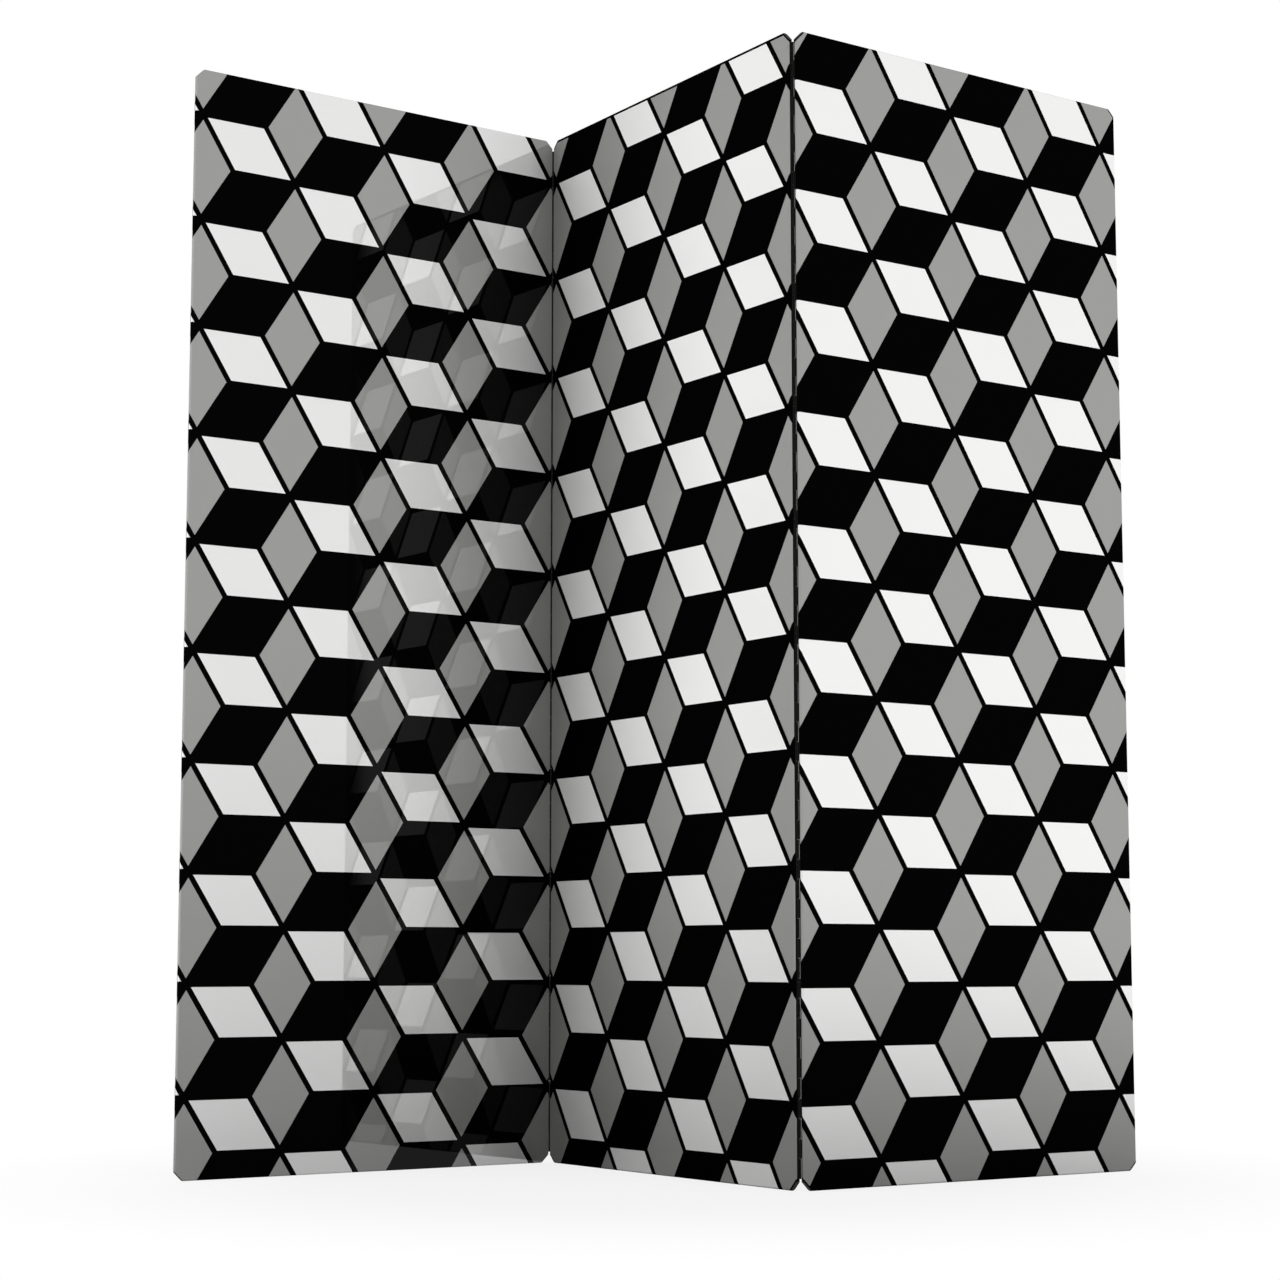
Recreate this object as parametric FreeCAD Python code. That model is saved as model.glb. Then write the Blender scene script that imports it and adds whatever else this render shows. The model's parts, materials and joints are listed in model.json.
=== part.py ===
import FreeCAD, Part
import os

os.makedirs("parts", exist_ok=True)
Vec = FreeCAD.Vector

# Three-panel folding screen. Lengths in millimetres, angles in degrees.

# Panels
PANEL_WIDTH = 700.0
PANEL_HEIGHT = 1800.0
PANEL_THICKNESS = 8.0
CORNER_CLIP = 15.0          # leg of the 45 degree cut at every corner
SKIN_THICKNESS = 0.8        # printed gloss sheet on each face
EDGE_RADIUS = 3.0           # roll of the sheets over the panel's edges
FOLD_ANGLE = 88.5           # angle between neighbouring panels as they stand

# Frame inside each panel
STILE_WIDTH = 45.0
RAIL_HEIGHT = 45.0
CROSS_RAIL_HEIGHT = 40.0
CROSS_RAIL_NAMES = ("lower_cross_rail", "upper_cross_rail")
CROSS_LAP = 20.0            # overlap of a cross rail on each stile
CORE_CLEARANCE = 0.3        # room round each piece of the filling

# Full-height hinges, let in under the sheets
PANEL_GAP = 1.0             # between panel edges when the screen is laid out straight
FACE_GAP = 0.2              # between panel faces when the screen is folded up
LEAF_THICKNESS = 0.6
LEAF_WIDTH = 14.0
PIN_CLEARANCE = 0.05        # radial, pin in knuckle
KNUCKLE_ROOM = 0.5          # radial, free space round the knuckles
KNUCKLE_COUNT = 59
KNUCKLE_GAP = 0.4           # between neighbouring knuckles
HINGE_MARGIN = 3.0          # from the corner clip to the end of the hinge

# Countersunk screws in the hinge leaves
SCREW_COUNT = 12
SCREW_RADIUS = 1.0
SCREW_HEAD_RADIUS = 1.8
SCREW_CLEARANCE = 0.05
SCREW_COVER = 1.4           # wood left past the screw's tip
SCREW_MARGIN = 25.0         # from a rail to the first screw

# Sizes that follow from the ones above
MID_DEPTH = PANEL_THICKNESS / 2
CORE_THICKNESS = PANEL_THICKNESS - 2 * SKIN_THICKNESS
ROLL_RADIUS = min(EDGE_RADIUS, MID_DEPTH - SKIN_THICKNESS / 2)
LEAF_BOTTOM = SKIN_THICKNESS + LEAF_THICKNESS
KNUCKLE_RADIUS = LEAF_BOTTOM + FACE_GAP / 2
BORE_RADIUS = KNUCKLE_RADIUS - LEAF_THICKNESS
PIN_RADIUS = BORE_RADIUS - PIN_CLEARANCE
REBATE_WIDTH = KNUCKLE_RADIUS + KNUCKLE_ROOM - PANEL_GAP / 2
REBATE_DEPTH = LEAF_BOTTOM + KNUCKLE_ROOM
HINGE_BOTTOM = CORNER_CLIP + HINGE_MARGIN
HINGE_LENGTH = PANEL_HEIGHT - 2 * HINGE_BOTTOM
KNUCKLE_PITCH = HINGE_LENGTH / KNUCKLE_COUNT
SCREW_LENGTH = CORE_THICKNESS - SCREW_COVER
SCREW_HEAD_HEIGHT = SCREW_HEAD_RADIUS - SCREW_RADIUS
HALF_TURN = (180.0 - FOLD_ANGLE) / 2

# Each panel's hinged edges, and the face that each hinge lies under
HINGED_EDGES = {
    "left": {"right": "front"},
    "middle": {"left": "front", "right": "back"},
    "right": {"left": "back"},
}


def box(x, y, z):
    """Block between two coordinates along each axis, given in any order."""
    low = Vec(min(x), min(y), min(z))
    return Part.makeBox(max(x) - low.x, max(y) - low.y, max(z) - low.z, low)


def edge_x(edge, inward):
    """Place along the panel's width, counted inward from one of its side edges."""
    return inward if edge == "left" else PANEL_WIDTH - inward


def face_y(face, depth):
    """Place through the panel's thickness, counted down from one of its faces."""
    return depth if face == "front" else PANEL_THICKNESS - depth


def edge_box(edge, face, inward, depth, z):
    """Block counted inward from a side edge and down from a face."""
    across = [edge_x(edge, value) for value in inward]
    through = [face_y(face, value) for value in depth]
    return box(across, through, z)


def half(face):
    """Half of the panel's thickness under one face."""
    return box((0, PANEL_WIDTH), (face_y(face, 0), MID_DEPTH), (0, PANEL_HEIGHT))


def clipped_outline():
    """The panel's rectangle with its four corners cut off, through the thickness."""
    c, w, h = CORNER_CLIP, PANEL_WIDTH, PANEL_HEIGHT
    corners = [(c, 0), (w - c, 0), (w, c), (w, h - c), (w - c, h), (c, h), (0, h - c), (0, c)]
    points = [Vec(x, 0, z) for x, z in corners]
    wire = Part.makePolygon(points + points[:1])
    return Part.Face(wire).extrude(Vec(0, PANEL_THICKNESS, 0))


def rolled_block(panel, inset):
    """A panel drawn in by inset on every face: rolled edges, square beside a hinge, clipped corners."""
    ends = [(inset, size - inset) for size in (PANEL_WIDTH, PANEL_THICKNESS, PANEL_HEIGHT)]
    block = box(*ends)
    hinged = [Part.Vertex(edge_x(edge, inset), face_y(face, inset), inset)
              for edge, face in HINGED_EDGES[panel].items()]

    def along(direction):
        return [e for e in block.Edges if abs(e.tangentAt(e.FirstParameter).dot(direction)) > 0.5]

    uprights = [e for e in along(Vec(0, 0, 1)) if all(v.distToShape(e)[0] > SKIN_THICKNESS for v in hinged)]
    sides = block.makeFillet(ROLL_RADIUS - inset, uprights)
    top_and_bottom = block.makeFillet(ROLL_RADIUS - inset, along(Vec(1, 0, 0)))
    return sides.common(top_and_bottom).common(clipped_outline())


def lap_face(panel, edge):
    """The face whose half the stile keeps at its lap joints: the hinge's, if it has one."""
    return HINGED_EDGES[panel].get(edge, "front")


def other(face):
    return "back" if face == "front" else "front"


def skin(panel, face, shell):
    """Printed sheet of one face, rolled over the edges to mid thickness."""
    sheet = shell.common(half(face))
    for edge, hinge_face in HINGED_EDGES[panel].items():
        if hinge_face == face:
            sheet = sheet.cut(edge_box(edge, face, (0, REBATE_WIDTH), (0, MID_DEPTH), (0, PANEL_HEIGHT)))
    return sheet


def rail_spans():
    """Bottom and top of every rail, from the floor up."""
    spans = {"bottom_rail": (0, RAIL_HEIGHT), "top_rail": (PANEL_HEIGHT - RAIL_HEIGHT, PANEL_HEIGHT)}
    pitch = PANEL_HEIGHT / (len(CROSS_RAIL_NAMES) + 1)
    for number, name in enumerate(CROSS_RAIL_NAMES, 1):
        middle = number * pitch
        spans[name] = (middle - CROSS_RAIL_HEIGHT / 2, middle + CROSS_RAIL_HEIGHT / 2)
    return spans


def rail_laps(panel, name, edge):
    """Block in which a rail laps a stile: the whole stile at the corners, its inner part elsewhere."""
    inner_end = STILE_WIDTH - CROSS_LAP if name in CROSS_RAIL_NAMES else 0
    rail_face = other(lap_face(panel, edge))
    return edge_box(edge, rail_face, (inner_end, STILE_WIDTH), (0, MID_DEPTH), rail_spans()[name])


def rail(panel, name, core):
    """Rail between the stiles, half-lapped over them at both ends."""
    between = box((STILE_WIDTH, PANEL_WIDTH - STILE_WIDTH), (0, PANEL_THICKNESS), rail_spans()[name])
    laps = [rail_laps(panel, name, edge) for edge in ("left", "right")]
    return between.multiFuse(laps).removeSplitter().common(core)


def stile(panel, edge, core):
    """Upright of the frame. Under a hinge it has a square lip, a rebate and the leaf's seat."""
    post = edge_box(edge, "front", (0, STILE_WIDTH), (0, PANEL_THICKNESS), (0, PANEL_HEIGHT)).common(core)
    face = HINGED_EDGES[panel].get(edge)
    if face:
        lip = edge_box(edge, face, (0, SKIN_THICKNESS), (REBATE_DEPTH, MID_DEPTH), (0, PANEL_HEIGHT))
        post = post.fuse(lip.common(clipped_outline())).removeSplitter()
        rebate = edge_box(edge, face, (0, REBATE_WIDTH), (0, REBATE_DEPTH), (0, PANEL_HEIGHT))
        post = post.cut(rebate).cut(leaf_plate(edge, face))
        post = post.cut(Part.makeCompound(screws(edge, face, SCREW_CLEARANCE)))
    return post.cut(Part.makeCompound([rail_laps(panel, name, edge) for name in rail_spans()]))


def core_filling():
    """Light filling of the bays between the rails, glued to both sheets."""
    spans = sorted(rail_spans().values())
    across = (STILE_WIDTH + CORE_CLEARANCE, PANEL_WIDTH - STILE_WIDTH - CORE_CLEARANCE)
    through = (SKIN_THICKNESS, PANEL_THICKNESS - SKIN_THICKNESS)
    bays = [(below[1] + CORE_CLEARANCE, above[0] - CORE_CLEARANCE) for below, above in zip(spans, spans[1:])]
    return Part.makeCompound([box(across, through, bay) for bay in bays])


def pivot(edge, face):
    """Place of a hinge's axis beside an edge, in the panel's own plan."""
    return Vec(edge_x(edge, -PANEL_GAP / 2), face_y(face, -FACE_GAP / 2), 0)


def leaf_plate(edge, face):
    """Flat part of a hinge leaf, under the sheet."""
    across = (REBATE_WIDTH, REBATE_WIDTH + LEAF_WIDTH)
    span = (HINGE_BOTTOM, HINGE_BOTTOM + HINGE_LENGTH)
    return edge_box(edge, face, across, (SKIN_THICKNESS, LEAF_BOTTOM), span)


def hinge_rod(edge, face, radius):
    """Full-length cylinder on a hinge's axis."""
    return Part.makeCylinder(radius, HINGE_LENGTH, pivot(edge, face) + Vec(0, 0, HINGE_BOTTOM))


def screws(edge, face, growth=0.0):
    """Countersunk screws of one leaf. With growth, the holes that they go into."""
    inward = edge_x(edge, REBATE_WIDTH + LEAF_WIDTH / 2)
    into = Vec(0, 1 if face == "front" else -1, 0)
    first = RAIL_HEIGHT + SCREW_MARGIN
    pitch = (PANEL_HEIGHT - 2 * first) / (SCREW_COUNT - 1)
    shapes = []
    for number in range(SCREW_COUNT):
        top = Vec(inward, face_y(face, SKIN_THICKNESS), first + number * pitch)
        head = Part.makeCone(SCREW_HEAD_RADIUS + growth, SCREW_RADIUS + growth, SCREW_HEAD_HEIGHT, top, into)
        shank = Part.makeCylinder(SCREW_RADIUS + growth, SCREW_LENGTH + growth, top, into)
        shapes.append(head.fuse(shank).removeSplitter())
    return shapes


def hinge_leaf(edge, face, first_knuckle):
    """Leaf with every second knuckle rolled round the pin, starting at first_knuckle."""
    tab = edge_box(edge, face, (-PANEL_GAP / 2, REBATE_WIDTH), (SKIN_THICKNESS, LEAF_BOTTOM),
                   (HINGE_BOTTOM, HINGE_BOTTOM + HINGE_LENGTH))
    barrel = hinge_rod(edge, face, KNUCKLE_RADIUS).fuse(tab)
    reach = PANEL_GAP / 2 + 2 * KNUCKLE_RADIUS
    notches = []
    for number in range(KNUCKLE_COUNT):
        low = HINGE_BOTTOM + number * KNUCKLE_PITCH
        mine = number % 2 == first_knuckle
        trim = [(low, low + KNUCKLE_GAP / 2), (low + KNUCKLE_PITCH - KNUCKLE_GAP / 2, low + KNUCKLE_PITCH)]
        for span in trim if mine else [(low, low + KNUCKLE_PITCH)]:
            notches.append(edge_box(edge, face, (-reach, REBATE_WIDTH), (-reach, LEAF_BOTTOM), span))
    knuckles = barrel.cut(Part.makeCompound(notches)).cut(hinge_rod(edge, face, BORE_RADIUS))
    leaf = leaf_plate(edge, face).multiFuse(knuckles.Solids).removeSplitter()
    return leaf.cut(Part.makeCompound(screws(edge, face, SCREW_CLEARANCE)))


def standing_placement(panel):
    """Where a panel stands: the middle one on the origin, its neighbours swung on the hinges."""
    upright = Vec(0, 0, 1)
    turn = FreeCAD.Rotation(upright, -HALF_TURN)
    centre = Vec(PANEL_WIDTH / 2, MID_DEPTH, 0)
    middle = FreeCAD.Placement(turn.multVec(centre).negative(), turn)
    if panel == "middle":
        return middle
    edge, face = next(iter(HINGED_EDGES[panel].items()))
    meeting_edge = "left" if edge == "right" else "right"
    axis = middle.multVec(pivot(meeting_edge, face))
    swing = FreeCAD.Rotation(upright, HALF_TURN)
    return FreeCAD.Placement(axis - swing.multVec(pivot(edge, face)), swing)


def save(name, shape, panel):
    """Puts a piece of a panel where the panel stands and writes it out."""
    shape.Placement = standing_placement(panel)
    shape.exportStep("parts/%s.step" % name)


def make_panel(panel):
    core = rolled_block(panel, SKIN_THICKNESS)
    shell = rolled_block(panel, 0.0).cut(core)
    for face in ("front", "back"):
        save("%s_panel_%s_skin" % (panel, face), skin(panel, face, shell), panel)
    for edge in ("left", "right"):
        save("%s_panel_%s_stile" % (panel, edge), stile(panel, edge, core), panel)
    for name in rail_spans():
        save("%s_panel_%s" % (panel, name), rail(panel, name, core), panel)
    save("%s_panel_core" % panel, core_filling(), panel)


def make_hinge(name, panels_and_edges, face):
    """Two leaves with their screws, and the pin, which stays with the middle panel."""
    for first_knuckle, (panel, edge) in enumerate(panels_and_edges):
        save("%s_hinge_%s_leaf" % (name, panel), hinge_leaf(edge, face, first_knuckle), panel)
        save("%s_hinge_%s_screws" % (name, panel), Part.makeCompound(screws(edge, face)), panel)
    panel, edge = panels_and_edges[0]
    save("%s_hinge_pin" % name, hinge_rod(edge, face, PIN_RADIUS), panel)


for panel_name in HINGED_EDGES:
    make_panel(panel_name)
make_hinge("left", (("middle", "left"), ("left", "right")), "front")
make_hinge("right", (("middle", "right"), ("right", "left")), "back")
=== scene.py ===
import json
import math

import bmesh
import bpy
from mathutils import Matrix, Vector


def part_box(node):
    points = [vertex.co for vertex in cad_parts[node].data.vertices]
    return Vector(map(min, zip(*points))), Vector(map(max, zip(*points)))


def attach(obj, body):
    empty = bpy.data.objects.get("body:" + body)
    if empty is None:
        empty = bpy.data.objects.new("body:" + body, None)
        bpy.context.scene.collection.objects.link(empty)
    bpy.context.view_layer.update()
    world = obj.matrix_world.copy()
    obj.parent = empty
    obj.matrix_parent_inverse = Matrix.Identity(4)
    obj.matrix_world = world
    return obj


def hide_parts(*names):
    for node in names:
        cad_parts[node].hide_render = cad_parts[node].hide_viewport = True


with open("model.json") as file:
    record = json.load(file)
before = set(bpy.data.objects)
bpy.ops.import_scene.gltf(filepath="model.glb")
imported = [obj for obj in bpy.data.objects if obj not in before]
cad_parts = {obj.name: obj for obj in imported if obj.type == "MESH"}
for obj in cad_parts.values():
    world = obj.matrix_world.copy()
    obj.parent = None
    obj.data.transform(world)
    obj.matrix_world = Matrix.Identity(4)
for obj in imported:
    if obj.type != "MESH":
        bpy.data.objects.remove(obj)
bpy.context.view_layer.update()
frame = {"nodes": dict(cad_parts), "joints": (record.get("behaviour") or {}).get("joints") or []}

# Three-panel folding screen with a tumbling-block print. Lengths in metres, angles in degrees.
MM = 0.001

# Panels
PANEL_THICKNESS = 8 * MM
CORNER_CLIP = 15 * MM           # leg of the 45 degree cut at every corner
SHEET_THICKNESS = 0.8 * MM      # printed gloss sheet on each face
EDGE_RADIUS = 3 * MM            # roll of the sheets over the panel's edges
ROLL_STEPS = 8                  # flats round a rolled edge
FACES = ("front", "back")
OTHER_EDGE = {"left": "right", "right": "left"}
HINGED_EDGES = {                # each panel's hinged edges, and the face that each hinge lies under
    "left": {"right": "front"},
    "middle": {"left": "front", "right": "back"},
    "right": {"left": "back"},
}

# Full-height hinges
PANEL_GAP = 1 * MM              # between panel edges when the screen is laid out straight
FACE_GAP = 0.2 * MM             # between panel faces when the screen is folded up
LEAF_THICKNESS = 0.6 * MM
LEAF_WIDTH = 14 * MM
PIN_CLEARANCE = 0.05 * MM       # radial, pin in knuckle
KNUCKLE_ROOM = 0.5 * MM         # radial, free space round the knuckles
KNUCKLE_COUNT = 59
KNUCKLE_GAP = 0.4 * MM          # between neighbouring knuckles
HINGE_MARGIN = 3 * MM           # from the corner clip to the end of the hinge
CURL_TURN = 325                 # how far each knuckle is rolled round the pin
CURL_STEPS = 20
LEAF_SHARP_ANGLE = 35           # edges that turn by more than this stay sharp
PIN_SIDES = 20
PIN_DOME_STEPS = 4

# Countersunk screws in the hinge leaves
SCREW_COUNT = 12
SCREW_RADIUS = 1 * MM
SCREW_HEAD_RADIUS = 1.8 * MM
SCREW_CLEARANCE = 0.05 * MM
SCREW_FIRST = 70 * MM           # lowest screw, from the floor
HOLE_SIDES = 16

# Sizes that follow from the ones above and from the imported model
FOLDS = {joint["name"]: joint for joint in frame["joints"]}
# Turn of each panel at rest, from the screen laid out straight
HALF_TURN = -FOLDS["left_fold"]["range_deg"][0] / 2
HINGE_AXES = {name: Vector(joint["pos_m"][:2] + [0]) for name, joint in FOLDS.items()}
AXIS_SPREAD = (HINGE_AXES["left_fold"] - HINGE_AXES["right_fold"]).length
PANEL_WIDTH = math.sqrt(AXIS_SPREAD ** 2 - (PANEL_THICKNESS + FACE_GAP) ** 2) - PANEL_GAP
PANEL_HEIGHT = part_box("middle_panel_front_skin")[1].z
MID_DEPTH = PANEL_THICKNESS / 2
KNUCKLE_RADIUS = SHEET_THICKNESS + LEAF_THICKNESS + FACE_GAP / 2
CURL_RADIUS = KNUCKLE_RADIUS - LEAF_THICKNESS / 2
PIN_RADIUS = KNUCKLE_RADIUS - LEAF_THICKNESS - PIN_CLEARANCE
REBATE_WIDTH = KNUCKLE_RADIUS + KNUCKLE_ROOM - PANEL_GAP / 2
HINGE_BOTTOM = CORNER_CLIP + HINGE_MARGIN
HINGE_LENGTH = PANEL_HEIGHT - 2 * HINGE_BOTTOM
KNUCKLE_PITCH = HINGE_LENGTH / KNUCKLE_COUNT
SCREW_PITCH = (PANEL_HEIGHT - 2 * SCREW_FIRST) / (SCREW_COUNT - 1)
SCREW_HEAD_HEIGHT = SCREW_HEAD_RADIUS - SCREW_RADIUS

# Print: rhombs in columns and rows, measured on the panels' faces
COLUMN_PITCH = 170.5 * MM
ROW_PITCH = 177.15 * MM
BLOCK_SIDE = COLUMN_PITCH / 1.5  # the columns lie one and a half sides apart
PRINT_TOP = 165.2 * MM          # middle of the first whole block, down from the top
PRINT_START = {"left": 69.8 * MM, "middle": 67.5 * MM, "right": 37.9 * MM}
LEVEL_LINE = 0.051              # half widths of the drawn lines, as shares of a rhomb
FORWARD_LINE = 0.056
BACKWARD_LINE = 0.049
INK_WHITE = (0.90, 0.90, 0.892)
INK_GREY = (0.330, 0.330, 0.322)
INK_BLACK = (0.0012, 0.0012, 0.0012)
SHADE_RIM_WIDTH = 2.3 * MM            # painted shade: black rim on the sheets' faces, inside the roll or the clipped corner
SHADE_ROLL_RIM = 1.0 * MM             # painted shade: the upright rolls are black from here on, beyond the panel's width
# Panels that get the painted shade rims along their edges, and inside their clipped corners
SHADE_RIM_EDGE_PANELS = ("middle",)
SHADE_RIM_CLIP_PANELS = ("middle", "right")

# Gloss of the printed sheets
SHEET_GLOSS = {"left": 1.0, "middle": 0.08, "right": 0.4}
GREY_GLOSS = 0.4                # gloss of the inks, as shares of the white's
BLACK_GLOSS = 0.003
POLISHED_SHEET = ("left", "front")
POLISHED_GLOSS = 0.065          # black ink in the polished part of that sheet, beside the fold
POLISH_START = 297 * MM         # that part's distance from the sheet's left edge
POLISH_SLOPE = 0.557            # fall of its upper limit, from the top of the right edge
POLISH_SIDE_FADE = 50 * MM
POLISH_TOP_FADE = 35 * MM

# Finishes. A noise is scale, detail and stretch along the axes, a relief is depth and strength,
# colours go from dark to light, roughness from smooth to dull.
SHEET_COAT = {"Specular IOR Level": 0.0, "Coat Roughness": 0.015, "Coat IOR": 2.6}
SHEET_MOTTLE = (900, 3)
SHEET_CLOUD = (6, 2)
SHEET_PEEL = (160, 2)
SHEET_RELIEF = (0.05 * MM, 0.05)
SHEET_ROUGHNESS = (0.32, 0.42)
BLACK_DULLNESS = 0.12           # added to the roughness in black ink
INK_STRENGTH = (0.965, 1.005)   # from the weak to the strong spots of the mottle
CLOUD_STRENGTH = 0.03           # added where the cloud is full

STAIN_GRAIN = (260, 4, (1, 1, 0.06))
STAIN_FIGURE = (30, 2, (1, 1, 0.1))
STAIN_FIGURE_SHARE = 0.4
STAIN_COLOURS = ((0.003, 0.0028, 0.0026), (0.011, 0.010, 0.009))
STAIN_SPECULAR = 0.12
STAIN_ROUGHNESS = (0.4, 0.65)
STAIN_RELIEF = (0.2 * MM, 0.25)

WOOD_RINGS = (40, 3, (0.3, 0.3, 5))
WOOD_FIBRE = (500, 3, (0.1, 0.1, 1))
WOOD_FIBRE_SHARE = 0.3
WOOD_COLOURS = ((0.52, 0.36, 0.2), (0.68, 0.5, 0.31))
WOOD_SPECULAR = 0.3
WOOD_ROUGHNESS = (0.55, 0.75)
WOOD_RELIEF = (0.15 * MM, 0.3)

CARD_FLUTE_PITCH = 7 * MM
CARD_FIBRE = (700, 4, (1, 1, 0.3))
CARD_FLUTE_SHARE = 0.3
CARD_FIBRE_HEIGHT = 0.2         # of a flute's
CARD_COLOURS = ((0.3, 0.19, 0.1), (0.46, 0.31, 0.18))
CARD_SPECULAR = 0.15
CARD_ROUGHNESS = (0.75, 0.9)
CARD_RELIEF = (0.4 * MM, 0.5)

ENAMEL_PEEL = (1500, 2)
ENAMEL_WEAR = (420, 5)
ENAMEL_WORN_FROM = 0.72         # level of the wear above which the steel shows
ENAMEL_STEEL_TONE = 0.5         # how far a rubbed speck goes to the light colour
ENAMEL_STEEL_METAL = 0.8
ENAMEL_COLOURS = ((0.004, 0.004, 0.004), (0.10, 0.10, 0.105))
ENAMEL_SPECULAR = 0.15
ENAMEL_ROUGHNESS = (0.34, 0.5)
ENAMEL_RELIEF = (0.05 * MM, 0.3)

STEEL_MARKS = (2500, 2, (1, 1, 0.2))
STEEL_COLOURS = ((0.5, 0.5, 0.49), (0.66, 0.65, 0.62))
STEEL_ROUGHNESS = (0.26, 0.46)
STEEL_RELIEF = (0.03 * MM, 0.3)

# View
CAMERA_PLACE = Vector((0.7575, -4.3129, 0.3444))
CAMERA_TURN = 10.52
CAMERA_TILT = 6.80
CAMERA_LENS = 75.45             # millimetres, on Blender's own sensor

# Floor and surroundings
DOME_LIGHT = 0.45
FLOOR_RADIUS = 1.3
FLOOR_SIDES = 96
FLOOR_FADE_START = FLOOR_RADIUS / 3
FLOOR_TONE = 0.8                # pale floor as it is seen
FLOOR_BOUNCE = 0.03             # and as it lights the screen from below, near the middle
FLOOR_WHITE = 0.82              # share of background white in the floor's middle

# Soft lamps: place, power in watts, width. The floor's edge keeps the low ones off the screen's foot.
SOFT_LAMPS = {
    "low_right_lamp": ((4.3, -3.0, -0.8), 120, 2.6),
    "low_left_lamp": ((-4.2, -2.0, -0.45), 128, 2.8),
    "high_right_lamp": ((4.3, -3.0, 4.2), 62, 3.0),
    "high_left_lamp": ((-4.2, -2.0, 3.8), 45, 3.0),
    "back_right_lamp": ((1.2, 3.0, 2.6), 20, 1.8),
    "back_left_lamp": ((-1.2, 3.0, 2.6), 20, 1.8),
}
LAMP_AIM = Vector((0, 0, 1.1))


# Shader maths

class Value:
    """A socket of a node tree. Arithmetic on it adds Math nodes."""

    # Places of a Mix node's sockets for colours
    MIX_SHARE = 0
    MIX_FIRST = 6
    MIX_SECOND = 7
    MIX_RESULT = 2

    def __init__(self, tree, socket=None):
        self.tree = tree
        self.socket = socket

    def node(self, kind, settings, inputs, out=0):
        """Adds a node: its settings first, then the values or links of its sockets."""
        made = self.tree.nodes.new(kind)
        for name, setting in settings.items():
            setattr(made, name, setting)
        for name, value in inputs.items():
            if isinstance(value, Value):
                self.tree.links.new(value.socket, made.inputs[name])
            else:
                made.inputs[name].default_value = value
        return Value(self.tree, made.outputs[out])

    def other(self, out):
        """Another output of the node that this value comes from."""
        return Value(self.tree, self.socket.node.outputs[out])

    def maths(self, operation, *values):
        return self.node("ShaderNodeMath", {"operation": operation}, dict(enumerate(values)))

    def mixed(self, share, first, second, blend="MIX"):
        """Colour that goes from first to second with share, or to another blend of the two."""
        inputs = {self.MIX_SHARE: share}
        for place, colour in ((self.MIX_FIRST, first), (self.MIX_SECOND, second)):
            inputs[place] = colour if isinstance(colour, Value) else (*colour, 1.0)
        settings = {"data_type": "RGBA", "blend_type": blend}
        return self.node("ShaderNodeMix", settings, inputs, self.MIX_RESULT)

    def vector(self, x, y, z):
        return self.node("ShaderNodeCombineXYZ", {}, {0: x, 1: y, 2: z})

    def grey(self):
        """This value as a colour."""
        return self.node("ShaderNodeCombineColor", {}, {0: self, 1: self, 2: self})

    def eased(self, start, end, low=0.0, high=1.0):
        """Goes smoothly from low to high while this value goes from start to end."""
        return self.node("ShaderNodeMapRange", {"interpolation_type": "SMOOTHSTEP"}, {
            "Value": self, "From Min": start, "From Max": end, "To Min": low, "To Max": high})

    def __add__(self, other):
        return self.maths("ADD", self, other)

    def __sub__(self, other):
        return self.maths("SUBTRACT", self, other)

    def __rsub__(self, other):
        return self.maths("SUBTRACT", other, self)

    def __mul__(self, other):
        return self.maths("MULTIPLY", self, other)

    def __truediv__(self, other):
        return self.maths("DIVIDE", self, other)

    def __mod__(self, other):
        return self.maths("FLOORED_MODULO", self, other)

    def __lt__(self, other):
        return self.maths("LESS_THAN", self, other)

    def __gt__(self, other):
        return self.maths("GREATER_THAN", self, other)

    def __or__(self, other):
        return self.maths("MAXIMUM", self, other)

    def __and__(self, other):
        return self.maths("MINIMUM", self, other)

    def __abs__(self):
        return self.maths("ABSOLUTE", self)

    def __floor__(self):
        return self.maths("FLOOR", self)

    __radd__ = __add__
    __rmul__ = __mul__


# Finishes

def finish_material(name, fixed):
    """New material with a Principled shader, its fixed sockets set. Returns its parts for the rest."""
    material = bpy.data.materials.new(name)
    material.use_nodes = True
    shader = material.node_tree.nodes["Principled BSDF"]
    for socket, value in fixed.items():
        shader.inputs[socket].default_value = value
    return material, Value(material.node_tree), shader


def feed(shader, socket, value):
    value.tree.links.new(value.socket, shader.inputs[socket])


def between(ends, share):
    """Value that goes from the first end to the second with share."""
    low, high = ends
    return low + share * (high - low)


def place_on_object(kit):
    return kit.node("ShaderNodeTexCoord", {}, {}, "Object")


def noise(kit, place, scale, detail, stretch=(1, 1, 1)):
    """Noise between 0 and 1 over a surface, drawn out along the axes whose stretch is small."""
    grid = kit.node("ShaderNodeMapping", {}, {"Vector": place, "Scale": stretch})
    return kit.node("ShaderNodeTexNoise", {}, {"Vector": grid, "Scale": scale, "Detail": detail}, "Fac")


def bumped(kit, shader, height, relief):
    """Raises the surface with height, as deep and strong as the relief says."""
    depth, strength = relief
    normal = kit.node("ShaderNodeBump", {}, {"Height": height, "Distance": depth, "Strength": strength})
    feed(shader, "Normal", normal)


def drawn_line(steps, half_width):
    """1 on the lines where steps is a whole number."""
    return abs((steps + 0.5) % 1 - 0.5) < half_width


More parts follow.
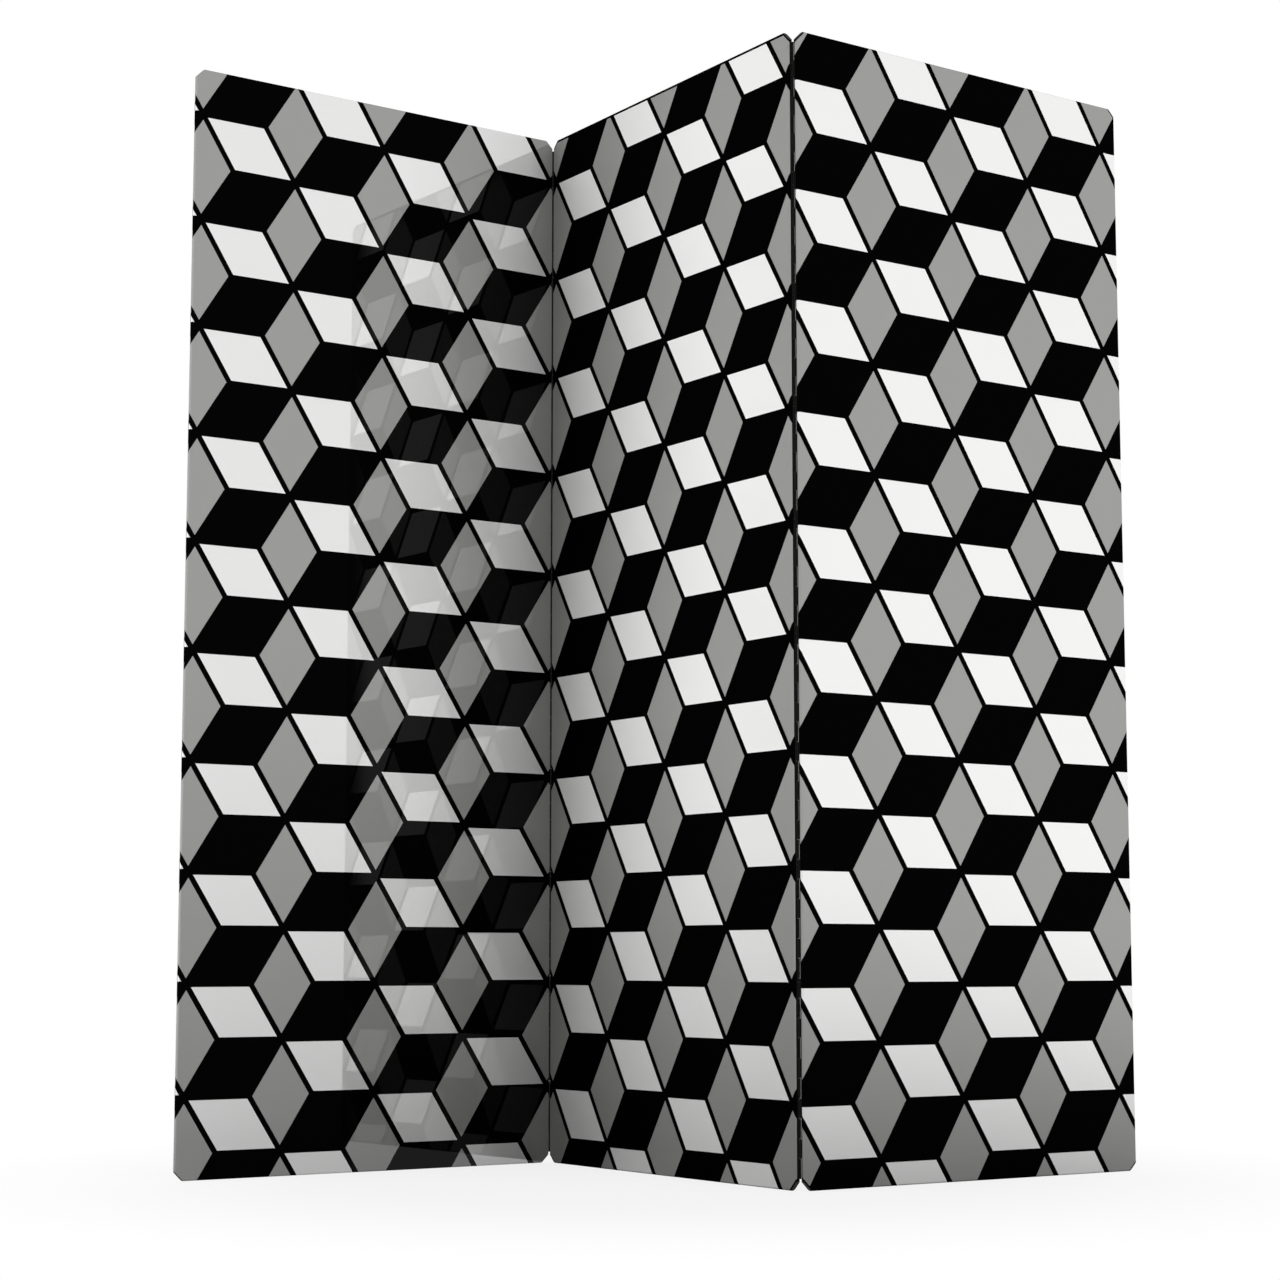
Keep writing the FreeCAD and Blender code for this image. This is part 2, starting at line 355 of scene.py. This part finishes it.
def printed_blocks(panel, along, height):
    """Where the print is white, and where it is black with its drawn lines. The rest is grey."""
    column = (along - PRINT_START[panel]) / BLOCK_SIDE
    rise = (height - (PANEL_HEIGHT - PRINT_TOP)) / (ROW_PITCH / 2)
    forward = column - rise * 0.5
    backward = column + rise * 0.5
    # Level, forward and backward lines cut the sheet into triangles, and every rhomb is two of them.
    # The kind is 0, 1 or 2, and the half is 0 or 1.
    row = math.floor(rise)
    diagonal = math.floor(forward)
    kind = (row - diagonal) % 3
    half = math.floor(backward) - row - diagonal
    white = abs(kind - half) < 0.5
    level_line = drawn_line(rise, LEVEL_LINE) & white
    forward_line = drawn_line(forward, FORWARD_LINE) & (1 - white)
    black = (kind > 1.5) | level_line | forward_line | drawn_line(backward, BACKWARD_LINE)
    return white, black


def with_shade_rims(panel, black, along, height):
    """The black of the print, with painted shade as black rims along the edges and clipped corners of some
    panels.
    """
    from_side = PANEL_WIDTH / 2 - abs(along - PANEL_WIDTH / 2)
    from_end = PANEL_HEIGHT / 2 - abs(height - PANEL_HEIGHT / 2)
    # Painted shade: black along the top roll and the upright rolls of these panels
    if panel in SHADE_RIM_EDGE_PANELS:
        black = black | (height > PANEL_HEIGHT - EDGE_RADIUS - SHADE_RIM_WIDTH) | (from_side < -SHADE_ROLL_RIM)
    # Painted shade: a black band inside the clipped corners of these panels
    if panel in SHADE_RIM_CLIP_PANELS:
        black = black | (from_side + from_end < CORNER_CLIP + SHADE_RIM_WIDTH * math.sqrt(2))
    return black


def sheet_gloss(panel, face, white, black, along, height):
    """Weight of the gloss coat: most on white ink, least on black ink that isn't polished."""
    black_gloss = BLACK_GLOSS
    if (panel, face) == POLISHED_SHEET:
        below = PANEL_HEIGHT - height - (PANEL_WIDTH - along) * POLISH_SLOPE
        inside = ((along - POLISH_START) / POLISH_SIDE_FADE) & (below / POLISH_TOP_FADE)
        black_gloss = inside.eased(0.0, 1.0, BLACK_GLOSS, POLISHED_GLOSS)
    gloss = (1 - black) * between((GREY_GLOSS, 1), white) + black * black_gloss
    return gloss * SHEET_GLOSS[panel]


def printed_sheet(panel, face):
    """Gloss sheet with the tumbling-block print, its inks a little uneven."""
    material, kit, shader = finish_material("printed_sheet_%s_%s" % (panel, face), SHEET_COAT)
    sheet = kit.node("ShaderNodeUVMap", {"uv_map": "sheet"}, {})
    along = kit.node("ShaderNodeSeparateXYZ", {}, {0: sheet}, "X")
    height = along.other("Y")
    white, black = printed_blocks(panel, along, height)
    # From here black also holds the painted shade rims, in base colour, gloss and roughness
    black = with_shade_rims(panel, black, along, height)
    cloud = noise(kit, sheet, *SHEET_CLOUD)
    strength = between(INK_STRENGTH, noise(kit, sheet, *SHEET_MOTTLE)) + cloud * CLOUD_STRENGTH
    inks = kit.mixed(black, kit.mixed(white, INK_GREY, INK_WHITE), INK_BLACK)
    feed(shader, "Base Color", kit.mixed(1.0, inks, strength.grey(), "MULTIPLY"))
    feed(shader, "Coat Weight", sheet_gloss(panel, face, white, black, along, height))
    feed(shader, "Roughness", between(SHEET_ROUGHNESS, cloud) + black * BLACK_DULLNESS)
    bumped(kit, shader, noise(kit, sheet, *SHEET_PEEL), SHEET_RELIEF)
    return material


def stained_wood():
    """Black-stained wood of the frame, grain upright, open pores a little duller than the rest."""
    material, kit, shader = finish_material("stained_wood", {"Specular IOR Level": STAIN_SPECULAR})
    place = place_on_object(kit)
    grain = noise(kit, place, *STAIN_GRAIN)
    figure = noise(kit, place, *STAIN_FIGURE)
    tone = grain * (1 - STAIN_FIGURE_SHARE) + figure * STAIN_FIGURE_SHARE
    feed(shader, "Base Color", kit.mixed(tone, *STAIN_COLOURS))
    feed(shader, "Roughness", between(STAIN_ROUGHNESS, grain))
    bumped(kit, shader, grain, STAIN_RELIEF)
    return material


def bare_wood():
    """Plain softwood of the cross rails."""
    material, kit, shader = finish_material("bare_wood", {"Specular IOR Level": WOOD_SPECULAR})
    place = place_on_object(kit)
    rings = noise(kit, place, *WOOD_RINGS)
    fibre = noise(kit, place, *WOOD_FIBRE)
    tone = rings * (1 - WOOD_FIBRE_SHARE) + fibre * WOOD_FIBRE_SHARE
    feed(shader, "Base Color", kit.mixed(tone, *WOOD_COLOURS))
    feed(shader, "Roughness", between(WOOD_ROUGHNESS, fibre))
    bumped(kit, shader, fibre, WOOD_RELIEF)
    return material


def brown_card():
    """Kraft card of the filling, with upright flutes and loose fibres."""
    material, kit, shader = finish_material("brown_card", {"Specular IOR Level": CARD_SPECULAR})
    place = place_on_object(kit)
    sideways = kit.node("ShaderNodeSeparateXYZ", {}, {0: place}, "X")
    flute = kit.maths("SINE", sideways * (math.tau / CARD_FLUTE_PITCH)) * 0.5 + 0.5
    fibre = noise(kit, place, *CARD_FIBRE)
    tone = fibre * (1 - CARD_FLUTE_SHARE) + flute * CARD_FLUTE_SHARE
    feed(shader, "Base Color", kit.mixed(tone, *CARD_COLOURS))
    feed(shader, "Roughness", between(CARD_ROUGHNESS, fibre))
    bumped(kit, shader, flute + fibre * CARD_FIBRE_HEIGHT, CARD_RELIEF)
    return material


def hinge_enamel():
    """Black enamel on the hinges, with a slight orange peel and a few rubbed specks of steel."""
    material, kit, shader = finish_material("hinge_enamel", {"Specular IOR Level": ENAMEL_SPECULAR})
    place = place_on_object(kit)
    peel = noise(kit, place, *ENAMEL_PEEL)
    rubbed = noise(kit, place, *ENAMEL_WEAR) > ENAMEL_WORN_FROM
    feed(shader, "Base Color", kit.mixed(rubbed * ENAMEL_STEEL_TONE, *ENAMEL_COLOURS))
    feed(shader, "Metallic", rubbed * ENAMEL_STEEL_METAL)
    feed(shader, "Roughness", between(ENAMEL_ROUGHNESS, peel))
    bumped(kit, shader, peel, ENAMEL_RELIEF)
    return material


def plated_steel():
    """Zinc-plated steel with fine turning marks."""
    material, kit, shader = finish_material("plated_steel", {"Metallic": 1.0})
    marks = noise(kit, place_on_object(kit), *STEEL_MARKS)
    feed(shader, "Base Color", kit.mixed(marks, *STEEL_COLOURS))
    feed(shader, "Roughness", between(STEEL_ROUGHNESS, marks))
    bumped(kit, shader, marks, STEEL_RELIEF)
    return material


# Pieces

def new_piece(name, mesh):
    piece = bpy.data.objects.new(name, mesh)
    bpy.context.scene.collection.objects.link(piece)
    return piece


def mesh_of(shape, name):
    """Mesh made from a finished shape, which is freed."""
    mesh = bpy.data.meshes.new(name)
    shape.to_mesh(mesh)
    shape.free()
    return mesh


def made_plain(piece):
    """Turns a piece with its modifiers into a plain mesh."""
    evaluated = piece.evaluated_get(bpy.context.evaluated_depsgraph_get())
    mesh = bpy.data.meshes.new_from_object(evaluated)
    piece.modifiers.clear()
    piece.data = mesh
    return mesh


def dress(piece, body, slot, *nodes):
    """The piece moves with the body and stands for the nodes. The slot is not used."""
    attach(piece, body)
    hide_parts(*nodes)


def edge_x(edge, inward):
    return inward if edge == "left" else PANEL_WIDTH - inward


def face_y(face, depth):
    return depth if face == "front" else PANEL_THICKNESS - depth


def pivot(edge, face):
    """Place of a hinge's axis beside an edge, in the panel's own plan."""
    return Vector((edge_x(edge, -PANEL_GAP / 2), face_y(face, -FACE_GAP / 2), 0))


def fold_name(panel, edge):
    return (edge if panel == "middle" else panel) + "_fold"


def standing(panel):
    """Matrix from the panel's own plan, its left front corner at the origin, to where it stands."""
    edge, face = next(iter(HINGED_EDGES[panel].items()))
    side = -1 if panel == "middle" else 1
    turn = Matrix.Rotation(math.radians(side * HALF_TURN), 4, "Z")
    to_axis = Matrix.Translation(HINGE_AXES[fold_name(panel, edge)])
    return to_axis @ turn @ Matrix.Translation(-pivot(edge, face))


# Printed sheets

def edge_steps(hinged):
    """Place inward and depth of a sheet's edge, from its end to the flat face."""
    if hinged:
        return [(REBATE_WIDTH, 0.0)]
    steps = [(0.0, MID_DEPTH)]
    for step in range(ROLL_STEPS + 1):
        angle = math.pi / 2 * (1 - step / ROLL_STEPS)
        steps.append((EDGE_RADIUS * (1 - math.sin(angle)), EDGE_RADIUS * (1 - math.cos(angle))))
    return steps


def across(size, first_hinged=False, last_hinged=False):
    """Places and depths over a whole side of a sheet, from edge to edge."""
    last = [(size - inward, depth) for inward, depth in edge_steps(last_hinged)]
    return edge_steps(first_hinged) + last[::-1]


def unrolled(place, depth, size):
    """Place on the sheet before its edges were rolled."""
    inward = min(place, size - place)
    if depth > EDGE_RADIUS:
        flat = EDGE_RADIUS * (1 - math.pi / 2) - (depth - EDGE_RADIUS)
    elif inward < EDGE_RADIUS:
        flat = EDGE_RADIUS * (1 - math.atan2(EDGE_RADIUS - inward, EDGE_RADIUS - depth))
    else:
        flat = inward
    return flat if place < size / 2 else size - flat


def rolled_grid(shape, hinged):
    """Faces of a sheet in its panel's front plane, rolled at the edges, open where two rolls would meet."""
    columns = across(PANEL_WIDTH, "left" in hinged, "right" in hinged)
    rows = across(PANEL_HEIGHT)
    grid = [[shape.verts.new((x, max(side, end), z)) for x, side in columns] for z, end in rows]
    for low in range(len(rows) - 1):
        for left in range(len(columns) - 1):
            rolled_side = max(columns[left][1], columns[left + 1][1])
            rolled_end = max(rows[low][1], rows[low + 1][1])
            if not (rolled_side and rolled_end):
                below, above = grid[low], grid[low + 1]
                shape.faces.new((below[left], below[left + 1], above[left + 1], above[left]))


def clip_corners(shape):
    """Cuts the four corners of a sheet off at 45 degrees."""
    for right in (0, 1):
        for top in (0, 1):
            corner = Vector((PANEL_WIDTH * right, 0, PANEL_HEIGHT * top))
            outward = Vector((2 * right - 1, 0, 2 * top - 1))
            bmesh.ops.bisect_plane(
                shape, geom=shape.verts[:] + shape.edges[:] + shape.faces[:], clear_outer=True,
                plane_co=corner - Vector((outward.x * CORNER_CLIP, 0, 0)), plane_no=outward)
    bmesh.ops.delete(shape, geom=[vert for vert in shape.verts if not vert.link_faces], context="VERTS")


def lay_out(shape):
    """UV map with the sheet's flat layout, in metres from its lower left corner."""
    layout = shape.loops.layers.uv.new("sheet")
    for face in shape.faces:
        for loop in face.loops:
            x, depth, z = loop.vert.co
            side_roll = min(x, PANEL_WIDTH - x) < min(z, PANEL_HEIGHT - z)
            loop[layout].uv = (unrolled(x, depth if side_roll else 0, PANEL_WIDTH),
                               unrolled(z, 0 if side_roll else depth, PANEL_HEIGHT))
        face.smooth = True


def lay_sheet(panel, face, finish):
    """One printed sheet in place on its panel."""
    hinged = [edge if face == "front" else OTHER_EDGE[edge]
              for edge, hinge_face in HINGED_EDGES[panel].items() if hinge_face == face]
    shape = bmesh.new()
    rolled_grid(shape, hinged)
    clip_corners(shape)
    lay_out(shape)
    name = "%s_panel_%s_sheet" % (panel, face)
    piece = new_piece(name, mesh_of(shape, name))
    wall = piece.modifiers.new("wall", "SOLIDIFY")
    wall.thickness = SHEET_THICKNESS
    wall.offset = -1
    evened = piece.modifiers.new("evened", "WEIGHTED_NORMAL")
    evened.keep_sharp = True
    mesh = made_plain(piece)
    mesh.materials.append(finish)
    place = standing(panel)
    if face == "back":
        to_middle = Matrix.Translation((PANEL_WIDTH / 2, MID_DEPTH, 0))
        place = place @ to_middle @ Matrix.Rotation(math.pi, 4, "Z") @ to_middle.inverted()
    mesh.transform(place)
    dress(piece, panel + "_panel", "printed_skin", "%s_panel_%s_skin" % (panel, face))


# Hinges

def rolled_knuckle(kit, size):
    """One knuckle: a strip that runs straight in from the plate, then round the pin."""
    step = math.radians(CURL_TURN) / CURL_STEPS
    number = kit.node("GeometryNodeInputIndex", {}, {})
    start = number < 0.5
    angle = math.pi / 2 + (number - 1) * step
    x = start * size["Plate start"] + (1 - start) * size["Curl radius"] * kit.maths("COSINE", angle)
    y = start * size["Curl radius"] + (1 - start) * size["Curl radius"] * kit.maths("SINE", angle)
    dots = kit.node("GeometryNodeMeshLine", {}, {"Count": CURL_STEPS + 2, "Offset": (0, 0, MM)})
    line = kit.node("GeometryNodeMeshToCurve", {}, {"Mesh": dots})
    curl = kit.node("GeometryNodeSetPosition", {}, {"Geometry": line, "Position": kit.vector(x, y, 0.0)})
    upright = kit.node("GeometryNodeSetCurveNormal", {"mode": "Z_UP"}, {"Curve": curl})
    strip = kit.node("GeometryNodeCurvePrimitiveQuadrilateral", {"mode": "RECTANGLE"}, {
        "Width": size["Strip"], "Height": size["Knuckle length"]})
    return kit.node("GeometryNodeCurveToMesh", {}, {
        "Curve": upright, "Profile Curve": strip, "Fill Caps": True})


def knuckle_row(kit, size):
    """The knuckles of one leaf, with room for the other leaf's between them."""
    knuckle = rolled_knuckle(kit, size)
    row = kit.node("GeometryNodeMeshLine", {}, {
        "Count": size["Knuckles"], "Start Location": kit.vector(0.0, 0.0, size["First knuckle"]),
        "Offset": kit.vector(0.0, 0.0, size["Knuckle pitch"])})
    return kit.node("GeometryNodeInstanceOnPoints", {}, {"Points": row, "Instance": knuckle})


def drilled_plate(kit, size):
    """Plate of one leaf, with a countersunk hole under each screw."""
    block = kit.node("GeometryNodeMeshCube", {}, {
        "Size": kit.vector(size["Plate width"], size["Strip"], size["Length"])})
    middle = size["Plate start"] + size["Plate width"] * 0.5
    plate = kit.node("GeometryNodeTransform", {}, {
        "Geometry": block, "Translation": kit.vector(middle, size["Curl radius"], size["Length"] * 0.5)})
    bit = kit.node("GeometryNodeMeshCone", {}, {
        "Vertices": HOLE_SIDES, "Depth": 2 * SCREW_HEAD_HEIGHT,
        "Radius Top": SCREW_RADIUS - SCREW_HEAD_HEIGHT / 2 + SCREW_CLEARANCE,
        "Radius Bottom": SCREW_HEAD_RADIUS + SCREW_HEAD_HEIGHT / 2 + SCREW_CLEARANCE})
    bit_start = size["Curl radius"] - size["Strip"] * 0.5 - SCREW_HEAD_HEIGHT / 2
    holes = kit.node("GeometryNodeMeshLine", {}, {
        "Count": size["Screws"], "Offset": kit.vector(0.0, 0.0, size["Screw pitch"]),
        "Start Location": kit.vector(middle, bit_start, size["First screw"])})
    bits = kit.node("GeometryNodeInstanceOnPoints", {}, {
        "Points": holes, "Instance": bit, "Rotation": (-math.pi / 2, 0, 0)})
    return kit.node("GeometryNodeMeshBoolean", {"operation": "DIFFERENCE"}, {
        "Mesh 1": plate, "Mesh 2": kit.node("GeometryNodeRealizeInstances", {}, {0: bits})})


def leaf_tree():
    """Geometry Nodes for a hinge leaf: a plate with screw holes and knuckles rolled from strips of it."""
    tree = bpy.data.node_groups.new("hinge_leaf", "GeometryNodeTree")
    sizes = {
        "Length": "Float", "Knuckles": "Int", "First knuckle": "Float", "Knuckle pitch": "Float",
        "Knuckle length": "Float", "Curl radius": "Float", "Strip": "Float", "Plate start": "Float",
        "Plate width": "Float", "Screws": "Int", "First screw": "Float", "Screw pitch": "Float",
        "Finish": "Material",
    }
    for name, kind in sizes.items():
        tree.interface.new_socket(name, in_out="INPUT", socket_type="NodeSocket" + kind)
    tree.interface.new_socket("Geometry", in_out="OUTPUT", socket_type="NodeSocketGeometry")
    kit = Value(tree)
    given = tree.nodes.new("NodeGroupInput")
    size = {name: Value(tree, given.outputs[name]) for name in sizes}
    whole = kit.node("GeometryNodeJoinGeometry", {}, {0: knuckle_row(kit, size)})
    tree.links.new(drilled_plate(kit, size).socket, whole.socket.node.inputs[0])
    real = kit.node("GeometryNodeRealizeInstances", {}, {0: whole})
    painted = kit.node("GeometryNodeSetMaterial", {}, {"Geometry": real, "Material": size["Finish"]})
    result = tree.nodes.new("NodeGroupOutput")
    tree.links.new(painted.socket, result.inputs[0])
    return tree


def hang_leaf(tree, hinge, panel, edge, face, first, finish):
    """One hinge leaf: every second knuckle of the hinge, starting with the first of its own."""
    name = "%s_hinge_%s_leaf_rolled" % (hinge, panel)
    piece = new_piece(name, bpy.data.meshes.new(name))
    sizes = {
        "Length": HINGE_LENGTH, "Knuckles": (KNUCKLE_COUNT + 1 - first) // 2,
        "First knuckle": (first + 0.5) * KNUCKLE_PITCH, "Knuckle pitch": 2 * KNUCKLE_PITCH,
        "Knuckle length": KNUCKLE_PITCH - KNUCKLE_GAP, "Curl radius": CURL_RADIUS,
        "Strip": LEAF_THICKNESS, "Plate start": REBATE_WIDTH + PANEL_GAP / 2,
        "Plate width": LEAF_WIDTH, "Screws": SCREW_COUNT, "First screw": SCREW_FIRST - HINGE_BOTTOM,
        "Screw pitch": SCREW_PITCH, "Finish": finish,
    }
    nodes = piece.modifiers.new("leaf", "NODES")
    nodes.node_group = tree
    for item in tree.interface.items_tree:
        if item.in_out == "INPUT":
            nodes[item.identifier] = sizes[item.name]
    mesh = made_plain(piece)
    side = 1 if edge == "left" else -1
    under = 1 if face == "front" else -1
    to_panel = Matrix.Translation(pivot(edge, face) + Vector((0, 0, HINGE_BOTTOM)))
    mesh.transform(standing(panel) @ to_panel @ Matrix.Diagonal((side, under, 1, 1)))
    if side * under < 0:
        mesh.flip_normals()
    mesh.shade_smooth()
    mesh.set_sharp_from_angle(angle=math.radians(LEAF_SHARP_ANGLE))
    dress(piece, panel + "_panel", "hinge_black", "%s_hinge_%s_leaf" % (hinge, panel))


def turn_pin(hinge, finish):
    """Hinge pin with domed ends."""
    angles = [math.pi / 2 * step / PIN_DOME_STEPS for step in range(1, PIN_DOME_STEPS + 1)]
    dome = [(PIN_RADIUS * math.sin(angle), PIN_RADIUS * (1 - math.cos(angle))) for angle in angles]
    profile = dome + [(radius, HINGE_LENGTH - height) for radius, height in dome[::-1]]
    turns = [math.tau * side / PIN_SIDES for side in range(PIN_SIDES)]
    shape = bmesh.new()
    rings = []
    for radius, height in profile:
        level = HINGE_BOTTOM + height
        spots = [(radius * math.cos(turn), radius * math.sin(turn), level) for turn in turns]
        rings.append([shape.verts.new(spot) for spot in spots])
    foot = shape.verts.new((0, 0, HINGE_BOTTOM))
    head = shape.verts.new((0, 0, HINGE_BOTTOM + HINGE_LENGTH))
    for side in range(PIN_SIDES):
        shape.faces.new((foot, rings[0][side], rings[0][side - 1]))
        for low, high in zip(rings, rings[1:]):
            shape.faces.new((low[side - 1], low[side], high[side], high[side - 1]))
        shape.faces.new((head, rings[-1][side - 1], rings[-1][side]))
    for face in shape.faces:
        face.smooth = True
    name = "%s_hinge_pin_domed" % hinge
    mesh = mesh_of(shape, name)
    mesh.transform(Matrix.Translation(HINGE_AXES[hinge + "_fold"]))
    mesh.materials.append(finish)
    dress(new_piece(name, mesh), "middle_panel", "hinge_black", "%s_hinge_pin" % hinge)


def paint_nodes(finishes):
    """Gives the CAD nodes that stay their finish, by the ends of their names."""
    for name, node in frame["nodes"].items():
        for ending, finish in finishes.items():
            if name.endswith(ending):
                node.data.materials.clear()
                node.data.materials.append(finish)


# View, floor and light

def background_seen(kit):
    """1 for rays that look at the background: from the camera, a gloss or a clear piece."""
    camera = kit.node("ShaderNodeLightPath", {}, {}, "Is Camera Ray")
    return camera | camera.other("Is Glossy Ray") | camera.other("Is Transmission Ray")


def floor_material():
    """Pale floor that fades into the white background. Its middle gives little light back to the screen."""
    material = bpy.data.materials.new("floor")
    material.use_nodes = True
    tree = material.node_tree
    tree.nodes.clear()
    kit = Value(tree)
    far = kit.node("ShaderNodeVectorMath", {"operation": "LENGTH"}, {0: place_on_object(kit)}, "Value")
    outer = far.eased(FLOOR_FADE_START, FLOOR_RADIUS)
    seen = background_seen(kit)
    tone = between((FLOOR_BOUNCE, FLOOR_TONE), seen | outer)
    pale = kit.node("ShaderNodeBsdfDiffuse", {}, {"Color": tone.grey()})
    white = kit.node("ShaderNodeEmission", {}, {"Strength": 1.0})
    share = seen * between((FLOOR_WHITE, 1), outer)
    mixed = kit.node("ShaderNodeMixShader", {}, {0: share, 1: pale, 2: white})
    output = tree.nodes.new("ShaderNodeOutputMaterial")
    tree.links.new(mixed.socket, output.inputs["Surface"])
    return material


def set_floor():
    """Round floor, which keeps a soft shadow under the screen."""
    shape = bmesh.new()
    bmesh.ops.create_circle(shape, cap_ends=True, segments=FLOOR_SIDES, radius=FLOOR_RADIUS)
    mesh = mesh_of(shape, "floor")
    mesh.materials.append(floor_material())
    new_piece("floor", mesh)


def set_world():
    """White surroundings that light the screen evenly, and less than they look."""
    world = bpy.data.worlds.new("studio")
    bpy.context.scene.world = world
    world.use_nodes = True
    background = world.node_tree.nodes["Background"]
    background.inputs["Color"].default_value = (1, 1, 1, 1)
    feed(background, "Strength", between((DOME_LIGHT, 1), background_seen(Value(world.node_tree))))


def set_lamps():
    """Wide soft lamps low, high and behind on either side, out of sight in the gloss."""
    for name, (place, power, width) in SOFT_LAMPS.items():
        lamp = bpy.data.lights.new(name, "AREA")
        lamp.shape = "DISK"
        lamp.size = width
        lamp.energy = power
        stand = new_piece(name, lamp)
        stand.location = place
        stand.visible_glossy = False
        stand.rotation_euler = (LAMP_AIM - stand.location).to_track_quat("-Z", "Y").to_euler()


def set_camera():
    """Low camera, a little to the right of the screen, tilted up."""
    camera = bpy.data.cameras.new("camera")
    camera.lens = CAMERA_LENS
    stand = new_piece("camera", camera)
    stand.location = CAMERA_PLACE
    stand.rotation_euler = (math.radians(90 + CAMERA_TILT), 0, math.radians(CAMERA_TURN))
    bpy.context.scene.camera = stand


bpy.context.scene.view_settings.view_transform = "Standard"
set_camera()
set_world()
set_lamps()
set_floor()

for panel_name in HINGED_EDGES:
    for face_name in FACES:
        lay_sheet(panel_name, face_name, printed_sheet(panel_name, face_name))

enamel = hinge_enamel()
leaf_nodes = leaf_tree()
for hinge_name, under_face in HINGED_EDGES["middle"].items():
    hang_leaf(leaf_nodes, hinge_name, "middle", hinge_name, under_face, 0, enamel)
    hang_leaf(leaf_nodes, hinge_name, hinge_name, OTHER_EDGE[hinge_name], under_face, 1, enamel)
    turn_pin(hinge_name, enamel)

dark_wood = stained_wood()
paint_nodes({
    "stile": dark_wood, "top_rail": dark_wood, "bottom_rail": dark_wood, "cross_rail": bare_wood(),
    "core": brown_card(), "screws": plated_steel(),
})
